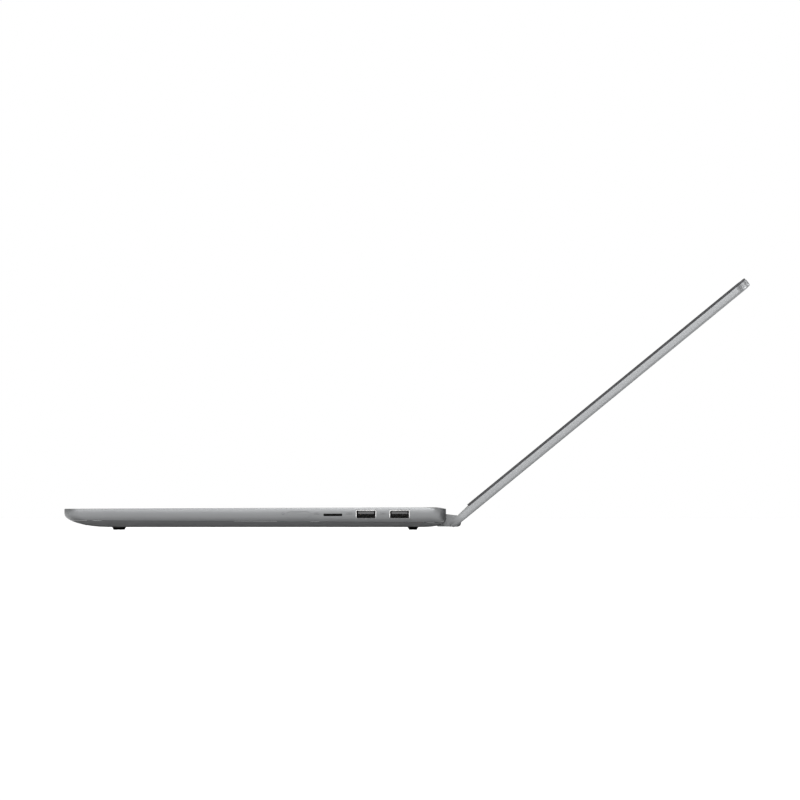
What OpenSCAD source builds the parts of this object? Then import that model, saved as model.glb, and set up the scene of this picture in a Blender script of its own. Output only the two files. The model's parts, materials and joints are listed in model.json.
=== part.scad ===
// Laptop computer whose lid turns right round on two-axis hinge blocks.
// Millimetres. The origin is on the desk, under the centre of the base.
// +X is the user's right, +Y is towards the hinges and +Z is up.

/* [Base] */
// Width of the computer, left to right
body_w = 356.8; // [350:0.2:364]
// Depth of the base, front to rear
body_d = 250.6; // [248:0.2:254]
// Thickness of the base at its front edge
front_t = 12.0; // [12:0.1:12.6]
// Thickness of the base at its rear edge
rear_t = 13.0; // [12.9:0.1:13.4]
// Radius of the corners, seen from above
corner_r = 10; // [8:0.5:12]
// Wall thickness of the two base shells
wall = 1.2; // [1:0.1:1.3]
// Height of the rubber feet
foot_h = 1.8; // [1.6:0.1:2]

/* [Lid] */
// Thickness of the lid
lid_t = 6.2; // [6:0.1:6.6]
// Distance from the lid's hinge axis to its top edge
lid_l = 245.5; // [243:0.1:247]
// Height of the camera bar above the top edge
bar_rise = 3; // [2:0.1:3.2]
// Angle through which the lid stands open, in degrees
open_angle = 140.7; // [135:0.1:150]
// Angle of the hinge blocks from upright, in degrees
link_angle = 95; // [93:0.5:97]
// Gap left between the lid and the base when closed or folded right back
fold_gap = 0.25; // [0.2:0.05:0.4]

/* [Keyboard] */
// Spacing of the letter keys across the keyboard
pitch_x = 17.7; // [17.4:0.1:17.8]
// Spacing of the key rows
pitch_y = 18.2; // [18:0.1:18.3]
// Spacing of the number pad's keys across the keyboard
pad_pitch = 15; // [14.6:0.1:15.1]
// Gap between neighbouring keycaps
key_gap = 2.8; // [2.6:0.1:3.2]
// How far a key travels
key_travel = 1.3; // [1:0.1:1.4]
// Width of the touchpad
touch_w = 135; // [120:1:150]
// Depth of the touchpad
touch_d = 82; // [76:1:84]

/* [Hinges] */
// Distance of the hinge blocks' centres from the middle
link_x = 130; // [126:1:132]
// Width of each hinge block
link_w = 48; // [44:1:50]
// Distance of the base's hinge axis from its rear edge
axis_inset = 3.7; // [3.6:0.05:3.8]
// Radius of the hinge shafts
shaft_r = 1.4; // [1.2:0.05:1.4]

/* [Hidden] */
$fn = 48;

// ---- Base form ----
half_w = body_w / 2;
half_d = body_d / 2;
deck_front_z = foot_h + front_t;
deck_rear_z = foot_h + rear_t;
deck_tilt = atan((rear_t - front_t) / body_d);

// The underside curves up to each edge along an ellipse: its reach inboard and its rise.
front_curve = [30, 8.7];
side_curve = [14, 10.6];
rear_curve = [14, 5.2];
// Heights above the underside at which the form is sliced
SLICES = [0, 0.25, 0.8, 1.7, 2.8, 4, 5.2, 6.5, 7.7, 8.7, 9.7, 10.6];
// Deck edge: drop below the deck, inset of the front and sides, inset of the rear
EDGE_STEPS = [[0, 0.4, 6.5], [0.12, 0.15, 5.2], [0.4, 0, 3.2], [1.05, 0, 0]];
leaf = 0.01;

// The line where the two shells meet falls from front to rear.
seam_front_z = 6.2;
seam_rear_z = 4.9;

// ---- Hinge geometry, in the YZ plane ----
axis_y = half_d - axis_inset;
axis_z = 7.4;
deck_at_axis = deck_front_z + (axis_y + half_d) * tan(deck_tilt) - axis_z;
link_s = deck_at_axis * cos(deck_tilt) + lid_t / 2 + fold_gap;
lid_axis_y = axis_y + link_s * sin(link_angle);
lid_axis_z = axis_z + link_s * cos(link_angle);
// Hinge block outline: margin past each axis, heights above and below the axes, corner radius
link_end = 3.1;
link_top = [3.4, 3.0];
link_low = [5.35, 4.4];
link_round = 2.4;
link_clear = 0.3;
notch_reach = 5.9;
cap_wall = 0.8;
plate_gap = 0.05;
plate_x = 14;
plate_t = 1.5;
ear_x = link_x - link_w / 2 - 6;
ear_t = 3;
ear_r = 2.2;
shaft_x0 = ear_x - ear_t / 2 - 0.4;
shaft_hole_r = shaft_r + 0.4;
shaft_x1 = link_x + 18;
washer_t = 0.5;
washer_r = 2.0;
bracket_x = [ear_x - 9, ear_x + 4.2];
bracket_y = [104, 117];
base_bracket_z = [12, 13.3];
bracket_screws = [[-5.5, 106.5], [-5.5, 113.5]];

// ---- Keyboard and touchpad ----
// Widths of the keys in each row, in letter-key widths, from left to right
FUNCTION_KEYS = [for (i = [1:15]) 1];
NUMBER_KEYS = [for (i = [1:14]) i < 14 ? 1 : 2];
TAB_KEYS = [for (i = [1:14]) i == 1 || i == 14 ? 1.5 : 1];
CAPS_KEYS = [for (i = [1:13]) i == 1 ? 1.75 : i == 13 ? 2.25 : 1];
SHIFT_KEYS = [for (i = [1:12]) i == 1 ? 2.25 : i == 12 ? 2.75 : 1];
BOTTOM_LEFT_KEYS = [1.25, 1, 1, 1];
space_units = 5.75;
BOTTOM_RIGHT_KEYS = [1, 1];
row_units = 15;
pad_keys = 4;
keys_w = row_units * pitch_x + pad_keys * pad_pitch;
keys_x0 = -keys_w / 2;
pad_x0 = keys_x0 + row_units * pitch_x;
function_h = 12.4;
keys_y1 = 100;
// Centre of row 1, the number row, to row 5, the bottom row
function row_y(row) = keys_y1 - function_h - (row - 0.5) * pitch_y;
function_y = keys_y1 - function_h / 2;
keys_y0 = row_y(5) - pitch_y / 2;
key_clear = 0.4;
key_r = 1.6;
cap_h = 2.0;
cap_top_t = 0.8;
cap_skirt = 0.9;
// Keycaps sit this far below the deck, in a shallow well
key_drop = 0.15;
well_depth = 0.6;
well_margin = 1.2;
key_bed = key_drop + cap_h + key_travel + 0.15;
bed_t = 0.6;
dome_r = 2.5;
dome_h = 1.1;
touch_y = -54;
touch_clear = 0.3;
touch_t = 2.2;
touch_drop = 0.05;

// ---- Inside the base ----
floor_z = foot_h + wall;
board_z = 6.1;
board_t = 1.0;
board_top = board_z + board_t;
board_x = [-150, 128];
board_y = [10, 96];
port_board = [22, 64];
port_board_x = 161;
port_board_y = 72;
memory_chip = [10, 14, 1];
cpu_x = 36;
cpu_y = 62;
cpu_size = [28, 24, 1.2];
pipe_z = 3.3;
pipe_t = 1.6;
pipe_w = 9;
fan_x = -62;
fan_y = 68;
fan_r = 25;
fan_z = 3.7;
fan_h = 5.3;
fan_wall = 0.5;
fan_pin_r = 1.0;
fan_hub_r = 9;
fan_blades = 31;
fins_y = 106;
fins_d = 12;
vent_slot = [2.4, 30];
exhaust_pitch = 4;
exhaust_n = 15;
cell_n = 4;
cell = [58, 84, 5.2];
speaker = [33, 50, 5.4];
speaker_x = 143;
speaker_slot = [1.4, 9];
speaker_slot_y = -78;
SCREWS = [[-140, -110], [-50, -110], [50, -110], [140, -110], [-166, -28], [166, -28],
    [-22, 112], [28, 112], [78, 112]];
screw_r = 0.8;
screw_head_r = 1.9;
screw_head_t = 1.0;
boss_r = 2.6;

// ---- Feet ----
foot_top_w = 6.9;
foot_base_w = 5.1;
front_foot_x = 125;
front_foot_y = -90.6;
front_foot_l = 60;
rear_foot_y = 103.6;
rear_foot_l = 250;

// ---- Ports: distance along Y, height of the centre ----
usb_a_y = [72.8, 94.8];
usb_a_z = 10.1;
usb_a_mouth = [12.5, 5.0];
microsd_y = 51;
microsd_z = 9.8;
microsd_mouth = [12.1, 1.45];
usb_c_y = [66, 82];
usb_c_z = 9.6;
usb_c_mouth = [8.34, 2.56];
hdmi_y = 97;
hdmi_z = 9.8;
hdmi_mouth = [14, 4.55];
jack_y = 46;
jack_z = 9.6;
jack_r = 1.8;
button_y = 28.4;
button_z = 9.8;
button_size = [15.1, 4.0];
button_flange = [2, 1];
button_flange_x = half_w - 2.7;
jack_nose_x = half_w - 1.5;
// What shows at the sides is cut this far inside the base's form
flush_skin = 0.05;
led_r = 0.6;
charge_led_y = 56;
power_led = [half_w - 2.2, 22.6];
port_wall = 0.4;
port_fit = 0.1;
port_recess = 0.8;
port_depth = 12;
port_x1 = half_w - port_recess;
port_x0 = port_x1 - port_depth;

// ---- Lid, in its own frame: Y runs up the lid from its axis, Z faces the user ----
lid_half = lid_t / 2;
lid_end = 5.2;
lid_wall = 0.8;
rim_v = 1.8;
glass_u0 = 12.3;
glass_t = 0.75;
glass_v1 = lid_half - 0.05;
glass_v0 = glass_v1 - glass_t;
gasket_w = 1.2;
ledge_w = 4;
edge_gap = 0.3;
bar_w = 92;
bar_slope = 4;
// Back edge of the lid: height, inset all round, inset of the hinge end
LID_STEPS = [[-lid_half, 1.1, 2.6], [-lid_half + 0.3, 0.5, 1.3], [-lid_half + 0.8, 0.15, 0.5],
    [-lid_half + 1.7, 0, 0.1], [-lid_half + 2.6, 0, 0]];
// Inner face of the chin: height at its hinge end and at the glass
chin_v = [1.05, 2.25];
chin_t = 0.9;
chin_nose = [0.8, 0.6];
bracket_v0 = -2.2;
bracket_t = 0.8;
panel_v = [-1.3, 1.6];
panel_size = [348, 223];
panel_u = 126.5;
// The bar's flat faces lie this far inside the lid's
bar_sink = 0.03;
knuckle_r = 2.9;
knuckle_x = [ear_x - ear_t / 2 - 1.2, link_x - link_w / 2 - link_clear];
lid_bracket_u = [7.5, 44];
lid_screws = [[-5.5, 16], [-5.5, 36], [1.5, 26]];
camera_u = 241.6;
camera_board_v = [-2.1, -1.4];
lens_r = 1.8;
lens_v1 = 1.5;
shutter_stroke = 8;
shutter_blade_x = [3.5, 13.5];
shutter_arm_x = [10.5, 13];
shutter_v = [1.65, 1.95];

// ---- Shared shapes ----
module rounded_rect(w, d, r) {
    square([w - 2 * r, d], center = true);
    square([w, d - 2 * r], center = true);
    for (x = [-1, 1], y = [-1, 1])
        translate([x * (w / 2 - r), y * (d / 2 - r)])
        circle(r);
}

// A block with rounded vertical corners, standing on z = 0
module rounded_block(w, d, h, r) {
    linear_extrude(h)
    rounded_rect(w, d, r);
}

// A box from its lowest and highest corners
module span(low, high) {
    translate(low)
    cube(high - low);
}

// A rounded bar along X, from x0 to x1, centred on y and z
module side_bar(x0, x1, y, z, w, h, r) {
    translate([x0, y, z])
    rotate([90, 0, 90])
    linear_extrude(x1 - x0)
    rounded_rect(w, h, r);
}

// A rod along X
module x_rod(x0, x1, r) {
    translate([x0, 0, 0])
    rotate([0, 90, 0])
    cylinder(h = x1 - x0, r = r);
}

module mirrored_pair() {
    children();
    mirror([1, 0, 0])
    children();
}

// Places children drawn on the tilted deck: z = 0 is the deck's surface
module on_deck() {
    translate([0, -half_d, deck_front_z])
    rotate([deck_tilt, 0, 0])
    translate([0, half_d, 0])
    children();
}

// Places children drawn about the base's hinge axis, Y along the hinge block
module on_link() {
    translate([0, axis_y, axis_z])
    rotate([90 - link_angle, 0, 0])
    children();
}

// Places children drawn in the lid's own frame
module on_lid() {
    translate([0, lid_axis_y, lid_axis_z])
    rotate([180 - open_angle, 0, 0])
    children();
}

// ---- Base shells ----
// How far an edge of the underside is drawn in at height h, for a curve of [reach, rise]
function drawn_in(h, curve) =
    h >= curve[1] ? 0 : curve[0] * (1 - sqrt(1 - pow(1 - h / curve[1], 2)));

// Outline of the base seen from above, with each edge drawn in
module base_outline(front, side, rear, r) {
    translate([0, (front - rear) / 2])
    rounded_rect(body_w - 2 * side, body_d - front - rear, r, $fn = 32);
}

// The base's outer form, or the same form a skin's thickness inside it
module base_form(skin) {
    hull() {
        for (h = SLICES)
            translate([0, 0, foot_h + skin + h])
            linear_extrude(leaf)
            base_outline(
                skin + drawn_in(h, front_curve),
                skin + drawn_in(h, side_curve),
                skin + drawn_in(h, rear_curve),
                corner_r);
        on_deck()
        for (step = EDGE_STEPS)
            translate([0, 0, -skin - step[0] - leaf])
            linear_extrude(leaf)
            base_outline(skin + step[1], skin + step[1], skin + step[2], corner_r);
    }
}

// Cuts a piece that reaches the outside flush with the base's curved sides
module flush_with_base() {
    intersection() {
        union()
        children();
        base_form(flush_skin);
    }
}

// Everything above the line where the two shells meet, raised by lift
module above_seam(lift) {
    rotate([90, 0, 90])
    linear_extrude(2 * body_w, center = true)
    polygon([
        [-half_d, seam_front_z + lift], [half_d, seam_rear_z + lift],
        [half_d + wall, seam_rear_z + lift], [half_d + wall, 2 * deck_rear_z],
        [-half_d - wall, 2 * deck_rear_z], [-half_d - wall, seam_front_z + lift]
    ]);
}

// Room for the hinge blocks to turn in, through the rear edge of the base
module base_notches(margin) {
    for (side = [-1, 1])
        span([side * link_x - link_w / 2 - link_clear - margin, axis_y - notch_reach - margin, -1],
            [side * link_x + link_w / 2 + link_clear + margin, half_d + 5, 2 * deck_rear_z]);
}

module base_cavity() {
    difference() {
        base_form(wall);
        base_notches(wall);
    }
}

module screw_bosses(r) {
    for (p = SCREWS)
        translate([p[0], p[1], 0])
        cylinder(h = deck_front_z, r = r);
}

// Key openings of the letter part of a row and of the number pad beside it
function sum_to(widths, i) = i == 0 ? 0 : widths[i - 1] + sum_to(widths, i - 1);

module key_outline(x0, y, w, h, grow) {
    translate([x0 + w / 2, y])
    rounded_rect(w - key_gap + 2 * grow, h - key_gap + 2 * grow, key_r + grow);
}

module row_outlines(widths, y, h, grow, unit0 = 0) {
    for (i = [0:len(widths) - 1])
        key_outline(keys_x0 + (unit0 + sum_to(widths, i)) * pitch_x, y, widths[i] * pitch_x, h, grow);
}

module pad_outlines(y, h, grow) {
    for (i = [0:pad_keys - 1])
        key_outline(pad_x0 + i * pad_pitch, y, pad_pitch, h, grow);
}

bottom_left_units = sum_to(BOTTOM_LEFT_KEYS, len(BOTTOM_LEFT_KEYS));
arrows_unit0 = bottom_left_units + space_units + sum_to(BOTTOM_RIGHT_KEYS, len(BOTTOM_RIGHT_KEYS));
arrow_w = (row_units - arrows_unit0) * pitch_x / 3;
arrow_x0 = keys_x0 + arrows_unit0 * pitch_x;

// The arrow keys: left and right are full keys, up and down share one place
module arrow_outlines(grow) {
    y = row_y(5);
    half_h = (pitch_y + key_gap) / 2 - 0.4;
    key_outline(arrow_x0, y, arrow_w, pitch_y, grow);
    key_outline(arrow_x0 + 2 * arrow_w, y, arrow_w, pitch_y, grow);
    for (side = [-1, 1])
        key_outline(arrow_x0 + arrow_w, y + side * (pitch_y - half_h) / 2, arrow_w, half_h, grow);
}

module bottom_row_outlines(grow) {
    row_outlines(BOTTOM_LEFT_KEYS, row_y(5), pitch_y, grow);
    row_outlines(BOTTOM_RIGHT_KEYS, row_y(5), pitch_y, grow, bottom_left_units + space_units);
    arrow_outlines(grow);
    pad_outlines(row_y(5), pitch_y, grow);
}

module space_outline(grow) {
    row_outlines([space_units], row_y(5), pitch_y, grow, bottom_left_units);
}

LETTER_ROWS = [NUMBER_KEYS, TAB_KEYS, CAPS_KEYS, SHIFT_KEYS];

module full_row_outlines(row, grow) {
    row_outlines(LETTER_ROWS[row - 1], row_y(row), pitch_y, grow);
    pad_outlines(row_y(row), pitch_y, grow);
}

module function_outlines(grow) {
    row_outlines(FUNCTION_KEYS, function_y, function_h, grow);
    pad_outlines(function_y, function_h, grow);
}

module keyboard_openings() {
    translate([0, 0, -key_bed])
    linear_extrude(key_bed + 1) {
        for (row = [1:4])
            full_row_outlines(row, key_clear);
        function_outlines(key_clear);
        bottom_row_outlines(key_clear);
        space_outline(key_clear);
    }
    translate([0, (keys_y0 + keys_y1) / 2, -well_depth])
    rounded_block(keys_w + 2 * well_margin, keys_y1 - keys_y0 + 2 * well_margin, 1 + well_depth, 3);
}

module side_openings() {
    for (y = usb_a_y)
        side_bar(port_x0, half_w + 1, y, usb_a_z, usb_a_mouth[0] + 2 * (port_wall + port_fit),
            usb_a_mouth[1] + 2 * (port_wall + port_fit), 0.6);
    side_bar(port_x0, half_w + 1, microsd_y, microsd_z, microsd_mouth[0] + 2 * port_fit,
        microsd_mouth[1] + 2 * port_fit, 0.4);
    side_bar(port_x0, half_w + 1, button_y, button_z, button_size[0] + 0.3, button_size[1] + 0.3, 2.1);
    side_bar(half_w - 5, button_flange_x + 0.15, button_y, button_z, button_size[0] + button_flange[0] + 0.4,
        button_size[1] + button_flange[1] + 0.4, 2.5);
    for (y = usb_c_y)
        side_bar(-half_w - 1, -port_x0, y, usb_c_z, usb_c_mouth[0] + 2 * (port_wall + port_fit),
            usb_c_mouth[1] + 2 * (port_wall + port_fit), 1.7);
    side_bar(-half_w - 1, -port_x0, hdmi_y, hdmi_z, hdmi_mouth[0] + 2 * (port_wall + port_fit),
        hdmi_mouth[1] + 2 * (port_wall + port_fit), 1.2);
    translate([0, jack_y, jack_z])
    x_rod(-half_w - 1, -port_x0, 2.6);
    translate([0, charge_led_y, usb_c_z])
    x_rod(-half_w - 1, -port_x0, led_r);
}

module top_case() {
    color("#8d8f90")
    difference() {
        union() {
            difference() {
                intersection() {
                    base_form(0);
                    above_seam(0);
                }
                base_cavity();
            }
            intersection() {
                screw_bosses(boss_r);
                above_seam(0);
                base_form(wall / 2);
            }
        }
        base_notches(0);
        screw_bore_top();
        hinge_relief();
        on_deck() {
            keyboard_openings();
            translate([0, touch_y, -5])
            rounded_block(touch_w + 2 * touch_clear, touch_d + 2 * touch_clear, 10, 3);
            translate([power_led[0], power_led[1], -5])
            cylinder(h = 10, r = led_r);
        }
        side_openings();
        for (i = [0:exhaust_n - 1])
            translate([fan_x + (i - (exhaust_n - 1) / 2) * exhaust_pitch, half_d, 8.8])
            rotate([90, 0, 0])
            linear_extrude(2 * wall + 1, center = true)
            rounded_rect(2.4, 2.4, 1.1);
    }
}

// Room inside the rear wall for the hinge brackets' ears and shafts
module hinge_relief() {
    mirrored_pair()
    translate([0, axis_y, axis_z]) {
        x_rod(ear_x - ear_t / 2 - 0.6, ear_x + ear_t / 2 + 0.3, ear_r + 0.2);
        x_rod(ear_x, link_x - link_w / 2, shaft_hole_r);
    }
}

// Threaded bores in the top case's bosses
module screw_bore_top() {
    for (p = SCREWS)
        translate([p[0], p[1], 0])
        cylinder(h = deck_front_z - 2.2, r = screw_r);
}

module bottom_cover() {
    color("#7b7d7e")
    difference() {
        union() {
            difference() {
                base_form(0);
                above_seam(-0.15);
                base_cavity();
            }
            intersection() {
                screw_bosses(boss_r);
                base_form(0);
            }
        }
        above_seam(-0.15);
        base_notches(0);
        hinge_relief();
        for (p = SCREWS)
            translate([p[0], p[1], 0]) {
                cylinder(h = seam_front_z + 1, r = screw_r + 0.15);
                cylinder(h = screw_seat_z(p[1]), r = screw_head_r + 0.2);
            }
        for (i = [-8:8])
            translate([fan_x + i * 4.4, fan_y, 0])
            rounded_block(vent_slot[0], vent_slot[1] + 16 - abs(i) * 2, 4, 1.1);
        for (side = [-1, 1], i = [-7:7])
            translate([side * speaker_x + i * 2.6, speaker_slot_y, 0])
            rounded_block(speaker_slot[0], speaker_slot[1], 4, 0.65);
    }
}

// Height of the seat under a screw's head; the front screws sit where the underside has risen
function screw_seat_z(y) = foot_h + (y < -100 ? 2.2 : 1.3);

module bottom_screws() {
    color("#3f4041")
    for (p = SCREWS)
        translate([p[0], p[1], screw_seat_z(p[1])]) {
            translate([0, 0, -screw_head_t])
            difference() {
                cylinder(h = screw_head_t, r = screw_head_r);
                translate([0, 0, -leaf])
                cylinder(h = 0.7, r = 0.7, $fn = 6);
            }
            cylinder(h = 6, r = screw_r);
        }
}

// A rubber strip along X, narrower where it meets the desk, with rounded ends
module foot_strip(length) {
    intersection() {
        rotate([90, 0, 90])
        linear_extrude(length, center = true)
        polygon([[-foot_base_w / 2, 0], [foot_base_w / 2, 0], [foot_top_w / 2, foot_h],
            [-foot_top_w / 2, foot_h]]);
        rounded_block(length, foot_top_w, foot_h, foot_top_w / 2 - leaf);
    }
}

module front_feet() {
    color("#2b2b2c")
    mirrored_pair()
    translate([front_foot_x, front_foot_y, 0])
    foot_strip(front_foot_l);
}

module rear_foot() {
    color("#2b2b2c")
    translate([0, rear_foot_y, 0])
    foot_strip(rear_foot_l);
}

// ---- Keyboard and touchpad ----
module keycaps() {
    on_deck()
    translate([0, 0, -key_drop - cap_h])
    difference() {
        linear_extrude(cap_h)
        children(0);
        translate([0, 0, -leaf])
        linear_extrude(cap_h - cap_top_t)
        children(1);
    }
}

module keys_function_row() {
    color("#5c5e60")
    keycaps() {
        function_outlines(0);
        function_outlines(-cap_skirt);
    }
}

module letter_row(row) {
    color("#5c5e60")
    keycaps() {
        full_row_outlines(row, 0);
        full_row_outlines(row, -cap_skirt);
    }
}

module keys_number_row() {
    letter_row(1);
}

module keys_tab_row() {
    letter_row(2);
}

module keys_caps_row() {
    letter_row(3);
}

module keys_shift_row() {
    letter_row(4);
}

module keys_bottom_row() {
    color("#5c5e60")
    keycaps() {
        bottom_row_outlines(0);
        bottom_row_outlines(-cap_skirt);
    }
}

module space_bar() {
    color("#5c5e60")
    keycaps() {
        space_outline(0);
        space_outline(-cap_skirt);
    }
}

// Steel plate that the keys' domes stand on, hung under the deck
module keyboard_plate() {
    color("#9a9c9e")
    on_deck()
    translate([0, (keys_y0 + keys_y1) / 2, -key_bed - bed_t])
    rounded_block(keys_w + 1, keys_y1 - keys_y0 + 1, bed_t, 1);
}

module row_domes(widths, y, unit0 = 0) {
    for (i = [0:len(widths) - 1])
        translate([keys_x0 + (unit0 + sum_to(widths, i) + widths[i] / 2) * pitch_x, y, -key_bed])
        cylinder(h = dome_h, r = dome_r, $fn = 24);
}

module pad_domes(y) {
    for (i = [0:pad_keys - 1])
        translate([pad_x0 + (i + 0.5) * pad_pitch, y, -key_bed])
        cylinder(h = dome_h, r = dome_r, $fn = 24);
}

module key_domes() {
    color("#d8d8d4")
    on_deck() {
        for (row = [1:4]) {
            row_domes(LETTER_ROWS[row - 1], row_y(row));
            pad_domes(row_y(row));
        }
        row_domes(FUNCTION_KEYS, function_y);
        pad_domes(function_y);
        row_domes(BOTTOM_LEFT_KEYS, row_y(5));
        row_domes([space_units], row_y(5), bottom_left_units);
        row_domes(BOTTOM_RIGHT_KEYS, row_y(5), bottom_left_units + space_units);
        pad_domes(row_y(5));
    }
}

module touchpad() {
    color("#9c9ea0")
    on_deck()
    translate([0, touch_y, -touch_drop - touch_t])
    rounded_block(touch_w, touch_d, touch_t, 2.8);
}

// ---- Inside the base ----
// A flat band along a path, w wide, with round joints
module band(path, w) {
    for (i = [0:len(path) - 2])
        hull()
        for (p = [path[i], path[i + 1]])
            translate(p)
            circle(w / 2, $fn = 32);
}

module mainboard() {
    color("#2f6b46")
    translate([0, 0, board_z])
    linear_extrude(board_t)
    difference() {
        union() {
            translate([board_x[0], board_y[0]])
            square([board_x[1] - board_x[0], board_y[1] - board_y[0]]);
            translate([-port_board_x - port_board[0] / 2, port_board_y - port_board[1] / 2])
            square([port_board[0] + 2, port_board[1]]);
        }
        translate([fan_x, fan_y])
        circle(fan_r + 3);
        translate([fan_x - fan_r - 3.5, fan_y])
        square([2 * fan_r + 7, 40]);
    }
    color("#26282a")
    for (i = [0:3])
        translate([75 + 13 * i, 51, board_top])
        rounded_block(memory_chip[0], memory_chip[1], memory_chip[2], 0.3);
}

module processor() {
    color("#4a5258")
    translate([cpu_x, cpu_y, board_z - cpu_size[2]])
    rounded_block(cpu_size[0], cpu_size[1], cpu_size[2], 0.5);
}

// Copper pipe from the plate under the processor to the fins
module heat_pipe() {
    color("#b87333")
    translate([0, 0, pipe_z])
    linear_extrude(pipe_t)
    band([[cpu_x, cpu_y], [-18, 86], [-34, fins_y], [fan_x - 24, fins_y]], pipe_w);
}

module heatsink_fins() {
    fin_w = 54;
    pitch = 2;
    z0 = pipe_z + pipe_t;
    z1 = fan_z + fan_h;
    color("#c2c4c6")
    difference() {
        span([fan_x - fin_w / 2, fins_y - fins_d / 2, z0], [fan_x + fin_w / 2, fins_y + fins_d / 2, z1]);
        for (x = [-fin_w / 2 + 0.4:pitch:fin_w / 2 - pitch])
            span([fan_x + x, fins_y - fins_d, z0 + 0.4],
                [fan_x + x + pitch - 0.4, fins_y + fins_d, z1 - 0.4]);
    }
}

// Shallow drum open towards the fins, with its axle standing on the top plate
module fan_housing() {
    color("#303234")
    translate([fan_x, fan_y, fan_z]) {
        difference() {
            linear_extrude(fan_h)
            fan_outline(0);
            translate([0, 0, fan_wall])
            linear_extrude(fan_h - 2 * fan_wall)
            union() {
                fan_outline(fan_wall);
                translate([-fan_r, 0])
                square([2 * fan_r, 60]);
            }
            translate([0, 0, -1])
            cylinder(h = 2, r = fan_r * 0.68);
        }
        translate([0, 0, 0.8])
        cylinder(h = fan_h - 1, r = fan_pin_r);
    }
}

module fan_outline(inset) {
    circle(fan_r + 1.5 - inset);
    translate([-fan_r - 1.5 + inset, 0])
    square([2 * (fan_r + 1.5 - inset), fins_y - fins_d / 2 - fan_y - 0.2]);
}

module fan_impeller() {
    blade_t = 0.5;
    blade_r = fan_r - 0.5;
    color("#1f2022")
    translate([fan_x, fan_y, fan_z + 0.9])
    difference() {
        union() {
            cylinder(h = fan_h - 1.8, r = fan_hub_r);
            for (i = [0:fan_blades - 1])
                rotate(i * 360 / fan_blades)
                translate([fan_hub_r - 1, 0, 0.3])
                rotate(-18)
                cube([blade_r - fan_hub_r, blade_t, fan_h - 2.6]);
        }
        translate([0, 0, -1])
        cylinder(h = fan_h + 1, r = fan_pin_r + 0.05);
    }
}

module battery_pack() {
    color("#3a3b3d")
    translate([0, -56, floor_z + 0.3]) {
        rounded_block(cell_n * (cell[0] + 2), cell[1] + 4, 0.6, 2);
        for (i = [0:cell_n - 1])
            translate([(i - (cell_n - 1) / 2) * (cell[0] + 2), 0, 0.6])
            rounded_block(cell[0], cell[1], cell[2], 3);
    }
}

module ssd() {
    color("#1f5a3c") {
        span([60, 14, board_z - 1.9], [102, 36, board_z - 1.1]);
        span([60, 14, board_z - 1.1], [66, 36, board_z]);
        span([70, 16, board_z - 3], [84, 34, board_z - 1.9]);
    }
}

module wifi_card() {
    color("#1f5a3c") {
        span([-14, 14, board_z - 1.9], [8, 44, board_z - 1.1]);
        span([-14, 14, board_z - 1.1], [8, 19, board_z]);
        span([-11, 24, board_z - 2.9], [5, 40, board_z - 1.9]);
    }
}

module speaker_box() {
    color("#242527")
    difference() {
        translate([speaker_x, speaker_slot_y + 2, floor_z + 0.5])
        rounded_block(speaker[0], speaker[1], speaker[2], 4);
        translate([speaker_x, speaker_slot_y, floor_z])
        rounded_block(26, speaker_slot[1], 2.5, 2);
    }
}

module speaker_right() {
    speaker_box();
}

module speaker_left() {
    mirror([1, 0, 0])
    speaker_box();
}

module io_board() {
    color("#2f6b46")
    span([port_board_x - port_board[0] / 2, port_board_y - port_board[1] / 2, board_z],
        [port_board_x + port_board[0] / 2, port_board_y + port_board[1] / 2, board_top]);
}

module io_flex_cable() {
    color("#c8a24a")
    span([122, 62, board_top], [156, 74, board_top + 0.2]);
}

// ---- Ports ----
// A metal socket shell along X on the right side: open at the wall, closed at its back
module port_shell(y, z, mouth, t, r, x1 = port_x1) {
    difference() {
        side_bar(port_x0, x1, y, z, mouth[0] + 2 * t, mouth[1] + 2 * t, r + t / 2);
        side_bar(port_x0 + t, x1 + 1, y, z, mouth[0], mouth[1], r);
    }
}

// Feet that stand a socket on its board
module port_legs(y, half_span, z_low) {
    for (side = [-1, 1])
        span([port_x0 + 1, y + side * half_span - 0.4, board_top],
            [port_x0 + 5, y + side * half_span + 0.4, z_low]);
}

module usb_a_shells() {
    color("#c9cbcd")
    flush_with_base()
    for (y = usb_a_y) {
        port_shell(y, usb_a_z, usb_a_mouth, port_wall, 0.4);
        for (side = [-1, 1])
            span([port_x1 - 5, y + side * 3.2 - 0.9, usb_a_z - usb_a_mouth[1] / 2 - 0.1],
                [port_x1 - 2.5, y + side * 3.2 + 0.9, usb_a_z - usb_a_mouth[1] / 2 + 0.5]);
    }
}

module usb_a_tongues() {
    color("#1d1e20")
    for (y = usb_a_y) {
        span([port_x0 + port_wall, y - 5.3, usb_a_z + 0.3], [port_x1 - 1.2, y + 5.3, usb_a_z + 2.15]);
        for (i = [-1.5:1:1.5])
            span([port_x0 + 2, y + i * 2.3 - 0.55, usb_a_z + 0.15],
                [port_x1 - 1.8, y + i * 2.3 + 0.55, usb_a_z + 0.3]);
    }
}

module microsd_socket() {
    t = 0.3;
    low_z = microsd_z - microsd_mouth[1] / 2 - t;
    color("#a9abad") {
        port_shell(microsd_y, microsd_z, microsd_mouth, t, 0.3, port_x1 - 2.1);
        port_legs(microsd_y, 5, low_z);
    }
}

module usb_c_shells() {
    t = 0.3;
    color("#c9cbcd")
    mirror([1, 0, 0])
    flush_with_base()
    for (y = usb_c_y) {
        port_shell(y, usb_c_z, usb_c_mouth, t, 1.25);
        port_legs(y, 2.5, usb_c_z - usb_c_mouth[1] / 2 - t);
    }
}

module usb_c_tongues() {
    color("#1d1e20")
    mirror([1, 0, 0])
    for (y = usb_c_y)
        span([port_x0 + 0.3, y - 3.35, usb_c_z - 0.35], [port_x1 - 1, y + 3.35, usb_c_z + 0.35]);
}

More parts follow.
